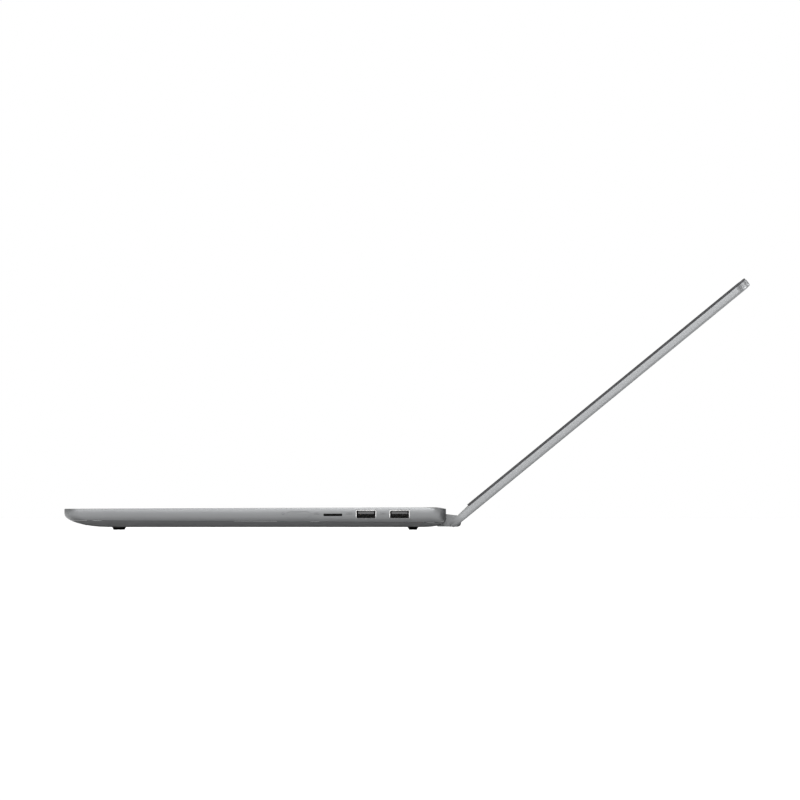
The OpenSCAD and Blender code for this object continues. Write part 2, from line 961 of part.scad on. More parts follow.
module hdmi_shell() {
    color("#c9cbcd")
    mirror([1, 0, 0])
    flush_with_base() {
        port_shell(hdmi_y, hdmi_z, hdmi_mouth, port_wall, 0.9);
        port_legs(hdmi_y, 5, hdmi_z - hdmi_mouth[1] / 2 - port_wall);
    }
}

module hdmi_tongue() {
    color("#1d1e20")
    mirror([1, 0, 0])
    span([port_x0 + port_wall, hdmi_y - 5.5, hdmi_z - 0.1], [port_x1 - 1.5, hdmi_y + 5.5, hdmi_z + 1.4]);
}

module audio_jack() {
    color("#1d1e20")
    mirror([1, 0, 0])
    flush_with_base()
    difference() {
        union() {
            span([port_x0, jack_y - 3.2, board_top], [port_x1 - 3.5, jack_y + 3.2, jack_z + 2.9]);
            translate([0, jack_y, jack_z])
            x_rod(port_x0 + 1, jack_nose_x, 2.5);
        }
        translate([0, jack_y, jack_z])
        x_rod(port_x0 + 1, half_w, jack_r);
    }
}

module power_button() {
    color("#8d8f90")
    flush_with_base() {
        side_bar(button_flange_x - 1, half_w, button_y, button_z, button_size[0], button_size[1], 1.98);
        side_bar(button_flange_x - 1.2, button_flange_x, button_y, button_z,
            button_size[0] + button_flange[0], button_size[1] + button_flange[1], 2.4);
    }
}

module power_led_lens() {
    color("#e8eef0")
    on_deck()
    translate([power_led[0], power_led[1], -wall])
    cylinder(h = wall - 0.02, r = led_r - 0.05);
}

module charge_led_lens() {
    color("#e8eef0")
    flush_with_base()
    translate([0, charge_led_y, usb_c_z])
    x_rod(-half_w, -half_w + 2 * wall, led_r - 0.05);
}

// ---- Hinges ----
// Section of a hinge block, Y from the base axis towards the lid axis, drawn in by inset
module link_section(inset) {
    r = link_round - inset;
    y0 = link_round - link_end;
    y1 = link_s + link_end - link_round;
    hull() {
        translate([y0, link_top[0] - link_round])
        circle(r);
        translate([y1, link_top[1] - link_round])
        circle(r);
        translate([y0, link_round - link_low[0]])
        circle(r);
        translate([y1, link_round - link_low[1]])
        circle(r);
    }
}

// Extrudes a YZ section along X
module along_x(x0, x1) {
    translate([x0, 0, 0])
    rotate([90, 0, 90])
    linear_extrude(x1 - x0)
    children();
}

module hinge_cap() {
    x0 = link_x - link_w / 2;
    x1 = link_x + link_w / 2;
    color("#77797b")
    on_link()
    difference() {
        along_x(x0, x1)
        link_section(0);
        along_x(x0 + cap_wall, x1 - cap_wall)
        link_section(cap_wall);
        for (y = [0, link_s])
            translate([0, y, 0])
            x_rod(x0 - 1, x0 + cap_wall + 1, shaft_hole_r);
    }
}

module hinge_cap_right() {
    hinge_cap();
}

module hinge_cap_left() {
    mirror([1, 0, 0])
    hinge_cap();
}

module hinge_link_plates() {
    color("#b6b8ba")
    mirrored_pair()
    on_link()
    for (side = [-1, 1])
        difference() {
            along_x(link_x + side * plate_x - plate_t / 2, link_x + side * plate_x + plate_t / 2)
            link_section(cap_wall + plate_gap);
            for (y = [0, link_s])
                translate([0, y, 0])
                x_rod(0, body_w, shaft_r + 0.05);
        }
}

// Friction washers on both sides of each hinge plate
module hinge_washers() {
    color("#d0d2d4")
    mirrored_pair()
    on_link()
    for (plate = [-1, 1], side = [-1, 1], y = [0, link_s]) {
        x = link_x + plate * plate_x + side * (plate_t + washer_t) / 2;
        translate([0, y, 0])
        difference() {
            x_rod(x - washer_t / 2, x + washer_t / 2, washer_r);
            x_rod(x - 1, x + 1, shaft_r + 0.05);
        }
    }
}

// A hinge shaft with the nut on its free end
module hinge_shaft() {
    color("#cfd1d3") {
        x_rod(shaft_x0, shaft_x1, shaft_r);
        x_rod(shaft_x1 - 1.8, shaft_x1, washer_r);
    }
}

module hinge_base_shafts() {
    mirrored_pair()
    translate([0, axis_y, axis_z])
    hinge_shaft();
}

// Steel plate under the deck, with an ear that holds the base's shaft
module hinge_base_brackets() {
    color("#aeb0b2")
    mirrored_pair()
    difference() {
        union() {
            span([bracket_x[0], bracket_y[0], base_bracket_z[0]],
                [bracket_x[1], bracket_y[1], base_bracket_z[1]]);
            along_x(ear_x - ear_t / 2, ear_x + ear_t / 2) {
                translate([axis_y, axis_z])
                circle(ear_r);
                translate([bracket_y[1] - 5, axis_z - ear_r])
                square([axis_y - bracket_y[1] + 5, 2 * ear_r]);
                translate([bracket_y[1] - 5, axis_z])
                square([4, base_bracket_z[0] - axis_z]);
            }
        }
        translate([0, axis_y, axis_z])
        x_rod(0, body_w, shaft_r);
        for (p = bracket_screws)
            translate([ear_x + p[0], p[1], 0])
            cylinder(h = 20, r = 0.85);
    }
}

module hinge_bracket_screws() {
    color("#3f4041")
    mirrored_pair()
    for (p = bracket_screws)
        translate([ear_x + p[0], p[1], base_bracket_z[0]]) {
            translate([0, 0, -0.7])
            cylinder(h = 0.7, r = 1.6);
            cylinder(h = base_bracket_z[1] - base_bracket_z[0], r = 0.8);
        }
}

// ---- Lid ----
// Outline of the lid without its camera bar, drawn in all round and at the hinge end
module lid_outline(inset, end_inset) {
    length = lid_l + lid_end - inset - end_inset;
    translate([0, lid_l - inset - length / 2])
    rounded_rect(body_w - 2 * inset, length, corner_r - 1 - inset, $fn = 32);
}

// The camera bar, a low hump in the middle of the top edge
module bar_outline(inset) {
    top = lid_l + bar_rise - inset;
    half = bar_w / 2 - inset;
    foot = half + bar_slope;
    polygon([
        [-foot, lid_l - 8], [-foot, lid_l - 1 - inset], [-half - 1, top - 0.4], [-half + 1, top],
        [half - 1, top], [half + 1, top - 0.4], [foot, lid_l - 1 - inset], [foot, lid_l - 8]
    ]);
}

module lid_form() {
    hull() {
        for (step = LID_STEPS)
            translate([0, 0, step[0]])
            linear_extrude(leaf)
            lid_outline(step[1], step[2]);
        translate([0, 0, rim_v - leaf])
        linear_extrude(leaf)
        lid_outline(0, 0);
    }
    hull() {
        for (step = LID_STEPS)
            translate([0, 0, step[0] + bar_sink])
            linear_extrude(leaf)
            bar_outline(step[1]);
        translate([0, 0, rim_v - bar_sink])
        linear_extrude(leaf)
        bar_outline(0);
    }
}

module lid_notches(margin) {
    for (side = [-1, 1])
        span([side * link_x - link_w / 2 - link_clear - margin, -lid_end - 1, -lid_t],
            [side * link_x + link_w / 2 + link_clear + margin, notch_reach + margin, lid_t]);
}

// Inner line of the chin, and its outer line when raised by the chin's thickness
function chin_points(raise) = [
    [-lid_end + edge_gap, chin_v[0] - chin_t + raise],
    [glass_u0 - 0.1, chin_v[1] - chin_t + raise]
];

module lid_back_cover() {
    color("#8d8f90")
    on_lid()
    difference() {
        lid_form();
        difference() {
            translate([0, 0, -lid_half + lid_wall])
            linear_extrude(lid_t) {
                lid_outline(lid_wall, lid_wall);
                bar_outline(lid_wall);
            }
            lid_notches(lid_wall);
        }
        along_x(-body_w, body_w)
        polygon([
            [-2 * lid_end, chin_v[0] - chin_t], chin_points(0)[0], chin_points(0)[1],
            [glass_u0 - 0.1, lid_t], [-2 * lid_end, lid_t]
        ]);
        lid_notches(0);
        mirrored_pair()
        x_rod(ear_x, link_x - link_w / 2, shaft_hole_r);
        shutter_slot();
    }
}

// Slot in the top wall for the camera shutter's knob
module shutter_slot() {
    span([shutter_arm_x[0] - shutter_stroke - 0.3, lid_l - 2, -0.8],
        [shutter_arm_x[1] + 0.3, lid_l + bar_rise + 1, 0.8]);
}

// A layer of the glass side, from the chin's edge up to the top of the camera bar
module screen_layer(v0, v1, inset) {
    intersection() {
        translate([0, 0, v0])
        union() {
            linear_extrude(v1 - v0)
            lid_outline(inset, inset);
            linear_extrude(v1 - v0)
            bar_outline(inset);
        }
        span([-body_w, glass_u0 + inset - edge_gap, -lid_t], [body_w, 2 * lid_l, lid_t]);
    }
}

module screen_ring(v0, v1, outer, inner) {
    difference() {
        screen_layer(v0, v1, outer);
        screen_layer(v0 - 1, v1 + 1, inner);
    }
}

// Soft frame round the glass, with a ledge that the glass is stuck to
module display_gasket() {
    color("#101113")
    on_lid() {
        screen_ring(rim_v, glass_v0, edge_gap, edge_gap + ledge_w);
        screen_ring(glass_v0, lid_half, edge_gap, edge_gap + gasket_w);
    }
}

module cover_glass() {
    color("#0b0c0e")
    on_lid()
    screen_layer(glass_v0, glass_v1, edge_gap + gasket_w + 0.05);
}

module lcd_panel() {
    color("#15171a")
    on_lid()
    translate([0, panel_u, panel_v[0]])
    rounded_block(panel_size[0], panel_size[1], panel_v[1] - panel_v[0], 1);
}

// Plastic strip below the glass, humped over the hinge brackets
module lid_chin() {
    color("#77797b")
    on_lid()
    difference() {
        union() {
            intersection() {
                along_x(-body_w, body_w)
                polygon([each chin_points(0), chin_points(chin_t)[1],
                    chin_points(chin_t)[0] + [chin_nose[0], 0], chin_points(chin_t)[0] - [0, chin_nose[1]]]);
                translate([0, 0, -lid_t])
                linear_extrude(2 * lid_t)
                lid_outline(edge_gap, edge_gap);
            }
            mirrored_pair()
            intersection() {
                x_rod(knuckle_x[0], knuckle_x[1], knuckle_r);
                along_x(0, body_w)
                polygon([chin_points(0)[0], chin_points(0)[1], [lid_end, lid_t], [-lid_end, lid_t]]);
            }
        }
        mirrored_pair()
        x_rod(knuckle_x[0] + 0.6, link_x, ear_r + 0.15);
        lid_notches(0);
    }
}

// Steel plate behind the screen, with an ear that holds the lid's shaft
module hinge_lid_brackets() {
    color("#aeb0b2")
    on_lid()
    mirrored_pair()
    difference() {
        union() {
            span([bracket_x[0], lid_bracket_u[0], bracket_v0],
                [bracket_x[1], lid_bracket_u[1], bracket_v0 + bracket_t]);
            along_x(ear_x - ear_t / 2, ear_x + ear_t / 2) {
                circle(ear_r);
                translate([0, -ear_r])
                square([lid_bracket_u[0] + 1, 2]);
            }
        }
        x_rod(0, body_w, shaft_r);
        for (p = lid_screws)
            translate([ear_x + p[0], p[1], -lid_t])
            cylinder(h = 2 * lid_t, r = 0.85);
    }
}

module lid_bracket_screws() {
    color("#3f4041")
    on_lid()
    mirrored_pair()
    for (p = lid_screws)
        translate([ear_x + p[0], p[1], bracket_v0]) {
            cylinder(h = bracket_t, r = 0.8);
            translate([0, 0, bracket_t])
            cylinder(h = p[1] < 15 ? 0.3 : 0.08, r = 1.5);
        }
}

module hinge_lid_shafts() {
    on_lid()
    mirrored_pair()
    hinge_shaft();
}

module camera_module() {
    color("#17181a")
    on_lid() {
        span([-36, lid_l - 4.9, camera_board_v[0]], [36, lid_l - 1.6, camera_board_v[1]]);
        translate([0, camera_u, camera_board_v[1]])
        cylinder(h = lens_v1 - camera_board_v[1], r = lens_r);
        for (side = [-1, 1])
            translate([side * 30, lid_l - 3, camera_board_v[1]])
            cylinder(h = 1, r = 0.8);
    }
}

// Blade that slides over the lens, with an arm out to its knob on the top edge
module camera_shutter() {
    blade_u1 = lid_l - 1.9;
    color("#c8442e")
    on_lid() {
        span([shutter_blade_x[0], camera_u - 2.2, shutter_v[0]],
            [shutter_blade_x[1], blade_u1, shutter_v[1]]);
        span([shutter_arm_x[0], blade_u1 - 0.8, -0.5], [shutter_arm_x[1], blade_u1, shutter_v[1]]);
        span([shutter_arm_x[0], blade_u1 - 0.8, -0.5], [shutter_arm_x[1], lid_l + bar_rise - 0.05, 0.5]);
    }
}

module antennas() {
    color("#8c8f92")
    on_lid()
    for (side = [-1, 1])
        span([side * 95 - 26, lid_l - 5, -2.1], [side * 95 + 26, lid_l - 1.2, -1.7]);
}

// Flat cable from the screen's lower edge to the left hinge
module display_cable() {
    color("#20242a")
    on_lid()
    translate([0, 0, -1.9])
    linear_extrude(0.3)
    band([[-84, 7], [-70, 9.5], [-30, 9.5], [-30, 20]], 5);
}

top_case();
bottom_cover();
bottom_screws();
front_feet();
rear_foot();
keyboard_plate();
key_domes();
mainboard();
processor();
heat_pipe();
heatsink_fins();
fan_housing();
fan_impeller();
battery_pack();
ssd();
wifi_card();
speaker_left();
speaker_right();
io_board();
io_flex_cable();
usb_a_shells();
usb_a_tongues();
microsd_socket();
usb_c_shells();
usb_c_tongues();
hdmi_shell();
hdmi_tongue();
audio_jack();
power_led_lens();
charge_led_lens();
hinge_base_brackets();
hinge_base_shafts();
hinge_bracket_screws();
keys_function_row();
keys_number_row();
keys_tab_row();
keys_caps_row();
keys_shift_row();
keys_bottom_row();
space_bar();
power_button();
touchpad();
hinge_cap_left();
hinge_cap_right();
hinge_link_plates();
hinge_washers();
lid_back_cover();
lcd_panel();
cover_glass();
display_gasket();
lid_chin();
hinge_lid_brackets();
hinge_lid_shafts();
lid_bracket_screws();
camera_module();
camera_shutter();
antennas();
display_cable();
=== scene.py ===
"""Looks for the convertible laptop: materials, finer pieces, pale studio floor, lights and camera.

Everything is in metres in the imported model's frame: +X the user's right, +Y towards the hinges, +Z up.
"""
import json
import math

import bmesh
import bpy
from mathutils import Matrix, Vector


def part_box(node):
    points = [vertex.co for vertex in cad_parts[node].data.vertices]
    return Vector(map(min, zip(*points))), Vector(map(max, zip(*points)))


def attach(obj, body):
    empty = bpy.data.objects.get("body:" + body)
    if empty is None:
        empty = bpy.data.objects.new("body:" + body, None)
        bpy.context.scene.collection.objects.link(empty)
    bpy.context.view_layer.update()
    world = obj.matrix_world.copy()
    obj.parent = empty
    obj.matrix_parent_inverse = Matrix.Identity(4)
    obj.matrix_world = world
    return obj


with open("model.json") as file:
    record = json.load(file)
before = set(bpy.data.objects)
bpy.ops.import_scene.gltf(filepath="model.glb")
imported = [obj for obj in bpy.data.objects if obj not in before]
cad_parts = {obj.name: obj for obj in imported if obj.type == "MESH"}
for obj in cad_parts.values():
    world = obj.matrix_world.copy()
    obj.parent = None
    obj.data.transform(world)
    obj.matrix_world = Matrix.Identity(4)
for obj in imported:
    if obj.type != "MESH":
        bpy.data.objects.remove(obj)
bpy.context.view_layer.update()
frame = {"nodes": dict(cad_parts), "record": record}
NODES = frame["nodes"]
JOINTS = {joint["name"]: joint for joint in frame["record"]["behaviour"]["joints"]}
MM = 0.001

# The lid's own directions at rest: across from its hinge axis to its top edge, and out of the screen
LID_TILT = math.radians(39.3)
LID_UP = Vector((0, math.cos(LID_TILT), math.sin(LID_TILT)))
LID_FACE = Vector((0, -math.sin(LID_TILT), math.cos(LID_TILT)))
LID_AXIS = Vector(JOINTS["hinge_upper"]["pos_m"])
# The lit area's width and height, and how far up the lid its middle and the camera are
DISPLAY_SIZE = (0.3447, 0.2154)
DISPLAY_U = 0.1265
CAMERA_U = 0.2416
GLASS_FACE = 3.05 * MM
# Vertices closer than this are one, where a node's faces meet
WELD_GAP = 0.002 * MM


# ---- Camera ----
def make_camera():
    """A long lens far off to the right, near desk height, as the side view was taken."""
    base_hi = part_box("top_case")[1]
    lens, sensor = 1650.0, 36.0
    frame_width = 0.5252
    ahead_of_rear, aim_height, camera_height = 0.0302, 0.0852, 0.012
    distance = frame_width * lens / sensor
    aim = Vector((base_hi.x, base_hi.y - ahead_of_rear, aim_height))
    data = bpy.data.cameras.new("camera")
    data.lens = lens
    data.sensor_width = sensor
    data.clip_start, data.clip_end = 0.05, 100
    camera = bpy.data.objects.new("camera", data)
    camera.location = (base_hi.x + distance, aim.y, camera_height)
    camera.rotation_euler = (aim - camera.location).to_track_quat("-Z", "Y").to_euler()
    bpy.context.scene.collection.objects.link(camera)
    bpy.context.scene.camera = camera


# ---- Materials ----
def new_material(name, color, metallic=0.0, roughness=0.5, **sockets):
    """A Principled material whose even values sit on the shader's own sockets."""
    mat = bpy.data.materials.new(name)
    mat.use_nodes = True
    shader = mat.node_tree.nodes["Principled BSDF"]
    shader.inputs["Base Color"].default_value = (*color, 1)
    shader.inputs["Metallic"].default_value = metallic
    shader.inputs["Roughness"].default_value = roughness
    for key, value in sockets.items():
        shader.inputs[key.replace("_", " ")].default_value = value
    return mat


def add_noise(mat, scale, detail=4.0, squash=(1, 1, 1)):
    """A noise texture in object space, stretched along an axis where squash is under 1."""
    nodes, links = mat.node_tree.nodes, mat.node_tree.links
    coords = nodes.new("ShaderNodeTexCoord")
    mapping = nodes.new("ShaderNodeMapping")
    mapping.inputs["Scale"].default_value = squash
    noise = nodes.new("ShaderNodeTexNoise")
    noise.inputs["Scale"].default_value = scale
    noise.inputs["Detail"].default_value = detail
    links.new(coords.outputs["Object"], mapping.inputs["Vector"])
    links.new(mapping.outputs["Vector"], noise.inputs["Vector"])
    return noise.outputs["Fac"]


def vary(mat, source, socket, low, high):
    """Drives a shader value between low and high by a texture."""
    nodes, links = mat.node_tree.nodes, mat.node_tree.links
    spread = nodes.new("ShaderNodeMapRange")
    spread.inputs["From Min"].default_value = 0.3
    spread.inputs["From Max"].default_value = 0.7
    spread.inputs["To Min"].default_value = low
    spread.inputs["To Max"].default_value = high
    links.new(source, spread.inputs["Value"])
    links.new(spread.outputs["Result"], nodes["Principled BSDF"].inputs[socket])


def vary_color(mat, source, dark, light):
    """Drives the base colour between two colours by a texture."""
    nodes, links = mat.node_tree.nodes, mat.node_tree.links
    ramp = nodes.new("ShaderNodeValToRGB")
    ramp.color_ramp.elements[0].position = 0.35
    ramp.color_ramp.elements[0].color = (*dark, 1)
    ramp.color_ramp.elements[1].position = 0.65
    ramp.color_ramp.elements[1].color = (*light, 1)
    links.new(source, ramp.inputs["Fac"])
    links.new(ramp.outputs["Color"], nodes["Principled BSDF"].inputs["Base Color"])


def bump(mat, source, strength, distance):
    nodes, links = mat.node_tree.nodes, mat.node_tree.links
    node = nodes.new("ShaderNodeBump")
    node.inputs["Strength"].default_value = strength
    node.inputs["Distance"].default_value = distance
    links.new(source, node.inputs["Height"])
    links.new(node.outputs["Normal"], nodes["Principled BSDF"].inputs["Normal"])


def shade(color, factor):
    return tuple(min(1.0, c * factor) for c in color)


def blasted_metal(name, color, roughness=0.42, metallic=0.85):
    """Bead-blasted, anodised aluminium: a very fine even grain, and a faint drift of tone."""
    mat = new_material(name, color, metallic, roughness)
    vary_color(mat, add_noise(mat, 9, 3), shade(color, 0.985), shade(color, 1.015))
    vary(mat, add_noise(mat, 45, 5), "Roughness", roughness - 0.02, roughness + 0.03)
    bump(mat, add_noise(mat, 5200, 2), 0.12, 0.00002)
    return mat


def moulded_plastic(name, color, roughness=0.5, grain_scale=3500, **sockets):
    """Moulded plastic with a fine spark-eroded grain."""
    mat = new_material(name, color, 0.0, roughness, **sockets)
    vary(mat, add_noise(mat, 90, 4), "Roughness", roughness - 0.05, roughness + 0.06)
    bump(mat, add_noise(mat, grain_scale, 3), 0.18, 0.00005)
    return mat


def rubber(name, color):
    """Soft rubber: grainy, matt, with paler scuffs."""
    mat = new_material(name, color, 0.0, 0.8)
    vary_color(mat, add_noise(mat, 220, 6), color, shade(color, 1.7))
    bump(mat, add_noise(mat, 2600, 3), 0.35, 0.00008)
    return mat


def brushed(name, color, roughness=0.3, squash=(0.04, 1, 1)):
    """Rolled or ground metal with fine lines along X."""
    mat = new_material(name, color, 1.0, roughness)
    lines = add_noise(mat, 3000, 3, squash)
    vary(mat, lines, "Roughness", roughness - 0.07, roughness + 0.1)
    bump(mat, lines, 0.15, 0.00003)
    return mat


def circuit_board(name, color):
    """Solder mask over copper tracks, drawn by stretched cells."""
    mat = new_material(name, color, 0.0, 0.35, Coat_Weight=0.4)
    nodes, links = mat.node_tree.nodes, mat.node_tree.links
    coords = nodes.new("ShaderNodeTexCoord")
    cells = nodes.new("ShaderNodeTexVoronoi")
    cells.distance = "CHEBYCHEV"
    cells.feature = "DISTANCE_TO_EDGE"
    cells.inputs["Scale"].default_value = 420
    links.new(coords.outputs["Object"], cells.inputs["Vector"])
    vary_color(mat, cells.outputs["Distance"], shade(color, 1.8), color)
    bump(mat, cells.outputs["Distance"], 0.2, 0.00004)
    return mat


def math_node(mat, operation, *values):
    """A Math node fed by numbers and by other nodes' outputs."""
    nodes, links = mat.node_tree.nodes, mat.node_tree.links
    node = nodes.new("ShaderNodeMath")
    node.operation = operation
    for socket, value in zip(node.inputs, values):
        if isinstance(value, bpy.types.NodeSocket):
            links.new(value, socket)
        else:
            socket.default_value = value
    return node.outputs[0]


def measure(mat, direction):
    """How far a point of the object lies along a direction, from the model's origin."""
    nodes, links = mat.node_tree.nodes, mat.node_tree.links
    coords = nodes.new("ShaderNodeTexCoord")
    dot = nodes.new("ShaderNodeVectorMath")
    dot.operation = "DOT_PRODUCT"
    dot.inputs[1].default_value = direction
    links.new(coords.outputs["Object"], dot.inputs[0])
    return dot.outputs["Value"]


def socket_metal_painted_shade(name, color, roughness=0.26):
    """Plated steel with painted shade: its colour darkens from a socket's rim inwards, as shade falls deeper
    in the socket.
    """
    mat = brushed(name, color, roughness)
    depth = math_node(mat, "ABSOLUTE", measure(mat, (1, 0, 0)))
    rim_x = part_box("usb_a_shells")[1].x
    # Painted shade: the colour fades to near black with depth behind the socket's rim
    light = math_node(mat, "SMOOTH_MAX", math_node(mat, "MULTIPLY_ADD", depth, 700, 1 - 700 * rim_x), 0, 0.2)
    vary_color(mat, math_node(mat, "MULTIPLY_ADD", light, 0.3, 0.35), shade(color, 0.02), color)
    return mat


def screen_glass(name):
    """Cover glass: black print round the edge, and the dark grey of the switched-off display inside it."""
    mat = new_material(name, (0.004, 0.004, 0.005), 0.0, 0.06, IOR=1.52, Coat_Weight=0.2)
    across = math_node(mat, "COMPARE", measure(mat, (1, 0, 0)), 0, DISPLAY_SIZE[0] / 2)
    middle = DISPLAY_U + LID_AXIS.dot(LID_UP)
    up = math_node(mat, "COMPARE", measure(mat, LID_UP), middle, DISPLAY_SIZE[1] / 2)
    vary_color(mat, math_node(mat, "MULTIPLY", across, up), (0.003, 0.003, 0.0035), (0.013, 0.013, 0.016))
    vary(mat, add_noise(mat, 22, 5), "Roughness", 0.045, 0.085)
    return mat


GREY = (0.15, 0.153, 0.156)
INK_GREY = (0.55, 0.56, 0.57)
MATERIALS = {
    "case_metal": blasted_metal("case_metal", GREY),
    "cover_metal": blasted_metal("cover_metal", shade(GREY, 0.85), 0.46),
    "dark_steel": brushed("dark_steel", (0.05, 0.05, 0.052), 0.4),
    "foot_rubber": rubber("foot_rubber", (0.022, 0.022, 0.023)),
    "sheet_steel": brushed("sheet_steel", (0.5, 0.5, 0.51)),
    "silicone": moulded_plastic("silicone", (0.62, 0.62, 0.6), 0.45),
    "board_green": circuit_board("board_green", (0.012, 0.09, 0.045)),
    "chip_black": moulded_plastic("chip_black", (0.02, 0.02, 0.022), 0.4),
    "copper": brushed("copper", (0.72, 0.38, 0.22)),
    "fin_metal": brushed("fin_metal", (0.6, 0.6, 0.61)),
    "black_plastic": moulded_plastic("black_plastic", (0.014, 0.014, 0.015), 0.48),
    "battery_wrap": moulded_plastic("battery_wrap", (0.02, 0.02, 0.024), 0.3),
    "flex_film": moulded_plastic("flex_film", (0.4, 0.2, 0.03), 0.3),
    "socket_steel": socket_metal_painted_shade("socket_steel", (0.62, 0.62, 0.62)),
    "clear_lens": moulded_plastic("clear_lens", (0.8, 0.85, 0.88), 0.15),
    "shaft_steel": brushed("shaft_steel", (0.55, 0.55, 0.56)),
    "key_plastic": moulded_plastic("key_plastic", (0.058, 0.06, 0.062), 0.5),
    "touch_surface": blasted_metal("touch_surface", shade(GREY, 0.95), 0.36, 0.5),
    "hinge_metal": blasted_metal("hinge_metal", shade(GREY, 0.8), 0.4, 0.7),
    "panel_black": moulded_plastic("panel_black", (0.006, 0.006, 0.007), 0.3),
    "screen_glass": screen_glass("screen_glass"),
    "gasket_rubber": rubber("gasket_rubber", (0.01, 0.01, 0.011)),
    "chin_plastic": moulded_plastic("chin_plastic", shade(GREY, 0.75), 0.45),
    "shutter_plastic": moulded_plastic("shutter_plastic", (0.02, 0.02, 0.021), 0.4),
}
NODE_SLOT = {s["node"]: s["material_slot"] for s in frame["record"]["subparts"]}


def paint_nodes():
    """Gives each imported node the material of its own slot."""
    for name, obj in NODES.items():
        obj.data.materials.clear()
        obj.data.materials.append(MATERIALS[NODE_SLOT[name]])


def smoothing_group(angle):
    """Geometry nodes that shade a mesh smooth, but for edges sharper than the angle."""
    group = bpy.data.node_groups.new("smooth_shading", "GeometryNodeTree")
    group.interface.new_socket("Geometry", in_out="INPUT", socket_type="NodeSocketGeometry")
    group.interface.new_socket("Geometry", in_out="OUTPUT", socket_type="NodeSocketGeometry")
    nodes, links = group.nodes, group.links
    enter, leave = nodes.new("NodeGroupInput"), nodes.new("NodeGroupOutput")
    faces, edges = nodes.new("GeometryNodeSetShadeSmooth"), nodes.new("GeometryNodeSetShadeSmooth")
    edges.domain = "EDGE"
    edges.inputs["Shade Smooth"].default_value = False
    fold = nodes.new("GeometryNodeInputMeshEdgeAngle")
    sharp = nodes.new("FunctionNodeCompare")
    sharp.operation = "GREATER_THAN"
    sharp.inputs["B"].default_value = angle
    links.new(fold.outputs["Unsigned Angle"], sharp.inputs["A"])
    links.new(enter.outputs[0], faces.inputs["Geometry"])
    links.new(faces.outputs["Geometry"], edges.inputs["Geometry"])
    links.new(sharp.outputs["Result"], edges.inputs["Selection"])
    links.new(edges.outputs["Geometry"], leave.inputs[0])
    return group


SMOOTHING = smoothing_group(math.radians(28))
# Width of the rounding, in millimetres, along the edges of nodes that are moulded, stamped or tumbled
ROUNDED = {
    "hinge_cap_left": 0.35, "hinge_cap_right": 0.35, "front_feet": 0.5, "rear_foot": 0.5,
    "keys_function_row": 0.18, "keys_number_row": 0.18, "keys_tab_row": 0.18, "keys_caps_row": 0.18,
    "keys_shift_row": 0.18, "keys_bottom_row": 0.18, "space_bar": 0.18, "touchpad": 0.12,
    "usb_a_shells": 0.08, "usb_a_tongues": 0.12, "hdmi_tongue": 0.12, "usb_c_tongues": 0.1,
    "battery_pack": 0.6, "speaker_left": 0.5, "speaker_right": 0.5, "processor": 0.15,
    "camera_shutter": 0.08, "heat_pipe": 0.5, "cover_glass": 0.1,
}


def finish_edges():
    """Rejoins each node's faces, rounds the edges that are round on the real piece, and shades it smooth."""
    for name, obj in NODES.items():
        weld = obj.modifiers.new("rejoin", "WELD")
        weld.merge_threshold = WELD_GAP
        if name in ROUNDED:
            bevel = obj.modifiers.new("round_edges", "BEVEL")
            bevel.width = ROUNDED[name] * MM
            bevel.segments = 3
            bevel.limit_method = "ANGLE"
            bevel.angle_limit = math.radians(40)
        smooth = obj.modifiers.new("shading", "NODES")
        smooth.node_group = SMOOTHING
        level = obj.modifiers.new("level_flats", "WEIGHTED_NORMAL")
        level.keep_sharp = True
        level.weight = 90


# ---- Key legends ----
LEGENDS = {
    "keys_function_row": "esc f1 f2 f3 f4 f5 f6 f7 f8 f9 f10 f11 f12 prt del home end pgup pgdn",
    "keys_number_row": "` 1 2 3 4 5 6 7 8 9 0 - = back num / * -",
    "keys_tab_row": "tab Q W E R T Y U I O P [ ] \\ 7 8 9 +",
    "keys_caps_row": "caps A S D F G H J K L ; ' enter 4 5 6 =",
    "keys_shift_row": "shift Z X C V B N M , . / shift 1 2 3 enter",
    "keys_bottom_row": "ctrl fn sys alt alt ctrl <left> <down> <up> <right> 0 , . ins",
}
ARROW_TURNS = {"<left>": 90, "<down>": 180, "<up>": 0, "<right>": -90}
LETTER_SIZE = 4.4 * MM
WORD_SIZE = 2.7 * MM
ARROW_RADIUS = 1.25 * MM
PRINT_T = 0.012 * MM
DECK_TILT = math.radians(0.2286)
LEGEND_INK = moulded_plastic("legend_ink", INK_GREY, 0.55)
PORT_INK = moulded_plastic("port_ink", (0.05, 0.05, 0.052), 0.55)


def add_piece(name, mesh, material, body):
    """Puts a new mesh in the scene, riding on a body."""
    mesh.materials.clear()
    mesh.materials.append(material)
    piece = bpy.data.objects.new(name, mesh)
    bpy.context.scene.collection.objects.link(piece)
    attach(piece, body)
    return piece


def body_of(node):
    """Name of the body that a CAD node rides on."""
    bodies = frame["record"]["behaviour"]["bodies"]
    return next(name for name, members in bodies.items() if node in members)


def loose_parts(node):
    """Lowest and highest corners of each separate solid in a CAD node, from left to right."""
    mesh = bmesh.new()
    mesh.from_mesh(NODES[node].data)
    bmesh.ops.remove_doubles(mesh, verts=mesh.verts, dist=WELD_GAP)
    seen, parts = set(), []
    for start in mesh.verts:
        if start in seen:
            continue
        seen.add(start)
        waiting, places = [start], []
        while waiting:
            vert = waiting.pop()
            places.append(vert.co.copy())
            for edge in vert.link_edges:
                other = edge.other_vert(vert)
                if other not in seen:
                    seen.add(other)
                    waiting.append(other)
        corners = [[pick(place[i] for place in places) for i in range(3)] for pick in (min, max)]
        parts.append((Vector(corners[0]), Vector(corners[1])))
    mesh.free()
    return sorted(parts, key=lambda part: (round(part[0].x, 4), part[0].y))


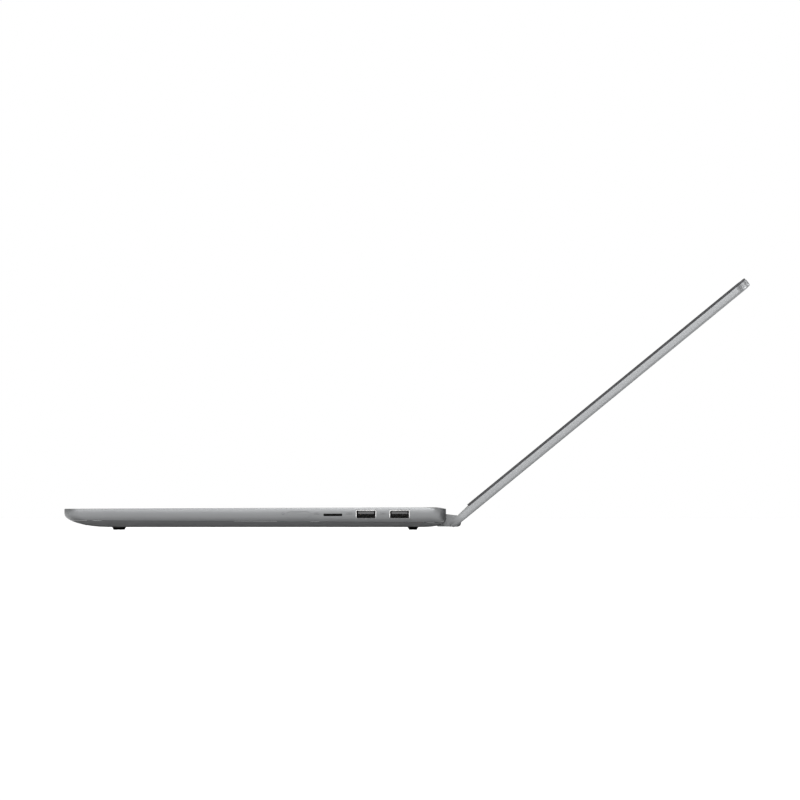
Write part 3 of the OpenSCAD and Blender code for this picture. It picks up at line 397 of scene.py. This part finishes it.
def word_mesh(word):
    """A word as a thin printed shape, centred on the origin."""
    text = bpy.data.curves.new("word", "FONT")
    text.body = word
    text.align_x, text.align_y = "CENTER", "CENTER"
    text.size = LETTER_SIZE if len(word) == 1 else WORD_SIZE
    text.extrude = PRINT_T
    text.resolution_u = 4
    holder = bpy.data.objects.new("word", text)
    mesh = bpy.data.meshes.new_from_object(holder)
    bpy.data.objects.remove(holder)
    bpy.data.curves.remove(text)
    return mesh


def arrow_mesh(turn):
    """A small triangle that points up before it's turned."""
    flat = bmesh.new()
    angles = [math.radians(90 + turn + third * 120) for third in range(3)]
    verts = [flat.verts.new((ARROW_RADIUS * math.cos(a), ARROW_RADIUS * math.sin(a), 0)) for a in angles]
    face = flat.faces.new(verts)
    raised = bmesh.ops.extrude_face_region(flat, geom=[face])["geom"]
    lifted = [part for part in raised if isinstance(part, bmesh.types.BMVert)]
    bmesh.ops.translate(flat, vec=(0, 0, PRINT_T), verts=lifted)
    mesh = bpy.data.meshes.new("arrow")
    flat.to_mesh(mesh)
    flat.free()
    return mesh


def print_legends():
    """Prints each row's legends on its keycaps; they ride with the row."""
    for node, words in LEGENDS.items():
        row = bmesh.new()
        for word, (low, high) in zip(words.split(), loose_parts(node)):
            mesh = arrow_mesh(ARROW_TURNS[word]) if word in ARROW_TURNS else word_mesh(word)
            middle = (low + high) / 2
            top = high.z - (high.y - middle.y) * math.tan(DECK_TILT)
            mesh.transform(Matrix.Rotation(DECK_TILT, 4, "X"))
            mesh.transform(Matrix.Translation((middle.x, middle.y, top)))
            row.from_mesh(mesh)
            bpy.data.meshes.remove(mesh)
        merged = bpy.data.meshes.new(node.replace("keys", "legends"))
        row.to_mesh(merged)
        row.free()
        add_piece(merged.name, merged, LEGEND_INK, body_of(node))


# ---- Marks and small parts at the sides ----
# How far the marks' lines lie inside the widest part of the wall, and above the power button's middle
MARK_INSET = 0.1 * MM
MARK_RISE = 0.9 * MM
MARK_RADIUS = 0.8 * MM
MARK_H = 1.1 * MM
MARK_MAX_W = 3.2 * MM
MARK_W_SHARE = 0.28
CONTACT_PLACES = (-3.5, -1.0, 1.0, 3.5)
CONTACT_L = 5 * MM
CONTACT_BOW = 0.75 * MM


def stroke(name, loops, thickness, material, body):
    """Fine raised lines along closed or open runs of points."""
    curve = bpy.data.curves.new(name, "CURVE")
    curve.dimensions = "3D"
    curve.bevel_depth = thickness / 2
    curve.bevel_resolution = 2
    for points, closed in loops:
        line = curve.splines.new("POLY")
        line.points.add(len(points) - 1)
        for point, place in zip(line.points, points):
            point.co = (*place, 1)
        line.use_cyclic_u = closed
    holder = bpy.data.objects.new(name, curve)
    mesh = bpy.data.meshes.new_from_object(holder)
    bpy.data.objects.remove(holder)
    bpy.data.curves.remove(curve)
    mesh.name = name
    for face in mesh.polygons:
        face.use_smooth = True
    return add_piece(name, mesh, material, body)


def arc(x, y, z, radius, start, end, steps=20):
    """Points along an arc on a side wall, in degrees from the top."""
    turns = [math.radians(start + (end - start) * i / steps) for i in range(steps + 1)]
    return [(x, y + radius * math.sin(t), z + radius * math.cos(t)) for t in turns]


def box_loop(x, y, z, width, height):
    """Corners of an upright rectangle on a side wall."""
    return [(x, y + a * width / 2, z + b * height / 2) for a, b in ((-1, -1), (1, -1), (1, 1), (-1, 1))]


def mark_sides():
    """Generic printed marks by the power button and the sockets, at the height of the sockets."""
    wall_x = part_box("top_case")[1].x - MARK_INSET
    button_lo, button_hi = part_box("power_button")
    height = (button_lo.z + button_hi.z) / 2 + MARK_RISE
    ring_y = button_lo.y - 1.6 * MM
    ring = (arc(wall_x, ring_y, height, MARK_RADIUS, 35, 325), False)
    stem = ([(wall_x, ring_y, height + 0.2 * MM), (wall_x, ring_y, height + 1.0 * MM)], False)
    stroke("power_mark", [ring, stem], 0.2 * MM, PORT_INK, "base")
    loops = []
    for node, side in (("microsd_socket", 1), ("usb_a_shells", 1), ("usb_c_shells", -1), ("hdmi_shell", -1)):
        for low, high in mouths(node):
            place = low.y - 4.4 * MM
            width = min(MARK_MAX_W, MARK_W_SHARE * (high.y - low.y))
            bar_z = height - 0.1 * MM
            bar = [(side * wall_x, place + end * width / 4, bar_z) for end in (-1, 1)]
            loops.append((box_loop(side * wall_x, place, height, width, MARK_H), True))
            loops.append((bar, False))
    jack_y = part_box("audio_jack")[0].y - 3 * MM
    loops.append((arc(-wall_x, jack_y, height, MARK_RADIUS, -110, 110), False))
    stroke("socket_marks", loops, 0.16 * MM, PORT_INK, "base")


def mouths(node):
    """Boxes of the separate sockets in a node, without the feet they stand on."""
    parts = loose_parts(node)
    widest = max(high.y - low.y for low, high in parts)
    return [part for part in parts if part[1].y - part[0].y > 0.8 * widest]


def spring_contacts():
    """Four bowed gilt contacts under the tongue of each USB socket on the right."""
    tongue_lo, tongue_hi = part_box("usb_a_tongues")
    metal = brushed("gilt", (0.75, 0.6, 0.36), 0.3)
    under = tongue_lo.z + 0.05 * MM
    front = tongue_hi.x - MM
    steps = [i / 10 for i in range(11)]
    loops = []
    for low, high in mouths("usb_a_shells"):
        for offset in CONTACT_PLACES:
            place = (low.y + high.y) / 2 + offset * MM
            bow = [(front - CONTACT_L * t, place, under - CONTACT_BOW * math.sin(math.pi * t)) for t in steps]
            loops.append((bow, False))
    stroke("usb_a_contacts", loops, 0.5 * MM, metal, "base")


def lathe(name, profile, place, facing, material, body, steps=48):
    """A turned piece: radius and height pairs, spun about the facing direction from its place."""
    spun = bmesh.new()
    turns = [2 * math.pi * i / steps for i in range(steps)]
    rings = []
    for radius, rise in profile:
        rings.append([spun.verts.new((radius * math.cos(t), radius * math.sin(t), rise)) for t in turns])
    for lower, upper in zip(rings, rings[1:]):
        for i in range(steps):
            spun.faces.new((lower[i], lower[(i + 1) % steps], upper[(i + 1) % steps], upper[i]))
    spun.faces.new(rings[-1])
    spun.faces.new(list(reversed(rings[0])))
    mesh = bpy.data.meshes.new(name)
    spun.to_mesh(mesh)
    spun.free()
    mesh.transform(Matrix.Translation(place) @ facing.to_track_quat("Z", "Y").to_matrix().to_4x4())
    for face in mesh.polygons:
        face.use_smooth = len(face.vertices) == 4
    return add_piece(name, mesh, material, body)


def camera_window():
    """Lens and ring that show at the top of the cover glass."""
    place = LID_AXIS + LID_UP * CAMERA_U + LID_FACE * GLASS_FACE
    ring_mm = [(2.0, -0.1), (2.0, 0.01), (1.7, 0.03), (1.5, 0.03), (1.35, -0.05)]
    ring = [(radius * MM, rise * MM) for radius, rise in ring_mm]
    lathe("camera_ring", ring, place, LID_FACE, MATERIALS["black_plastic"], "lid")
    lens_r, crown = 1.3 * MM, 0.03 * MM
    turns = [math.radians(12 * i) for i in range(7)]
    dome = [(lens_r, -0.1 * MM)] + [(lens_r * math.cos(t), crown * math.sin(t)) for t in turns]
    lens = new_material("lens_coating", (0.01, 0.008, 0.03), 0.0, 0.03, Coat_Weight=1.0)
    vary(lens, add_noise(lens, 300, 2), "Roughness", 0.02, 0.05)
    lathe("camera_lens", dome, place, LID_FACE, lens, "lid")


def home_bars():
    """Low bars on the F and J keycaps, which the index fingers feel for."""
    words = LEGENDS["keys_caps_row"].split()
    parts = loose_parts("keys_caps_row")
    loops = []
    for letter in "FJ":
        low, high = parts[words.index(letter)]
        place = low.y + 2.6 * MM
        top = high.z - (high.y - place) * math.tan(DECK_TILT)
        middle = (low.x + high.x) / 2
        loops.append(([(middle - 1.5 * MM, place, top), (middle + 1.5 * MM, place, top)], False))
    stroke("home_bars", loops, 0.28 * MM, MATERIALS["key_plastic"], body_of("keys_caps_row"))


# ---- Stage ----
SKY_GREY = 0.45
HORIZON_GREY = 0.06
FLOOR_FALL = 0.0026
FLOOR_HALF = 30


def make_world():
    """A white backdrop, with a grey studio that lights the computer: darker at the horizon than overhead."""
    world = bpy.data.worlds.new("studio")
    world.use_nodes = True
    nodes, links = world.node_tree.nodes, world.node_tree.links
    coords = nodes.new("ShaderNodeTexCoord")
    split = nodes.new("ShaderNodeSeparateXYZ")
    ramp = nodes.new("ShaderNodeValToRGB")
    ramp.color_ramp.elements[0].position = 0.04
    ramp.color_ramp.elements[0].color = (HORIZON_GREY, HORIZON_GREY, HORIZON_GREY, 1)
    ramp.color_ramp.elements[1].position = 0.3
    ramp.color_ramp.elements[1].color = (SKY_GREY, SKY_GREY, SKY_GREY, 1)
    links.new(coords.outputs["Generated"], split.inputs[0])
    links.new(split.outputs["Z"], ramp.inputs["Fac"])
    path = nodes.new("ShaderNodeLightPath")
    backdrop = nodes.new("ShaderNodeMix")
    backdrop.data_type = "RGBA"
    # Sockets 6 and 7 are the mix's colours A and B, and output 2 is its colour
    links.new(path.outputs["Is Camera Ray"], backdrop.inputs["Factor"])
    links.new(ramp.outputs["Color"], backdrop.inputs[6])
    backdrop.inputs[7].default_value = (1, 1, 1, 1)
    links.new(backdrop.outputs[2], nodes["Background"].inputs["Color"])
    nodes["Background"].inputs["Strength"].default_value = 1.0
    bpy.context.scene.world = world


def make_stage():
    """A pale floor, level under the computer, that falls by FLOOR_FALL just beyond its right side."""
    side_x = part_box("top_case")[1].x
    fall = [(side_x + 3 * MM, 0), (side_x + 30 * MM, -FLOOR_FALL)]
    steps = [(-FLOOR_HALF, 0), *fall, (FLOOR_HALF, -FLOOR_FALL)]
    corners = [(x, y, z) for x, z in steps for y in (-FLOOR_HALF, FLOOR_HALF)]
    faces = [(i, i + 2, i + 3, i + 1) for i in range(0, 2 * len(steps) - 2, 2)]
    mesh = bpy.data.meshes.new("floor")
    mesh.from_pydata(corners, [], faces)
    floor = bpy.data.objects.new("floor", mesh)
    bpy.context.scene.collection.objects.link(floor)
    mesh.materials.append(new_material("floor_white", (0.72, 0.72, 0.72), 0.0, 0.8))


def area_light(name, place, aim, size, power):
    """A rectangular softbox, its size in metres and its power in watts."""
    data = bpy.data.lights.new(name, "AREA")
    data.shape = "RECTANGLE"
    data.size, data.size_y = size
    data.energy = power
    lamp = bpy.data.objects.new(name, data)
    lamp.location = place
    lamp.rotation_euler = (Vector(aim) - Vector(place)).to_track_quat("-Z", "Y").to_euler()
    bpy.context.scene.collection.objects.link(lamp)


def make_lights():
    """A broad soft sun overhead that whitens the floor, a softbox on the right and one behind."""
    data = bpy.data.lights.new("overhead", "SUN")
    data.energy = 3.5
    data.angle = math.radians(50)
    lamp = bpy.data.objects.new("overhead", data)
    bpy.context.scene.collection.objects.link(lamp)
    area_light("key", (2.4, -0.2, 0.95), (0, 0, 0.02), (2.6, 0.9), 100)
    area_light("rim", (-0.3, 2.6, 1.2), (0, 0, 0.05), (2.2, 0.8), 60)


make_camera()
paint_nodes()
finish_edges()
print_legends()
home_bars()
mark_sides()
spring_contacts()
camera_window()
make_world()
make_stage()
make_lights()
bpy.context.scene.view_settings.view_transform = "Standard"
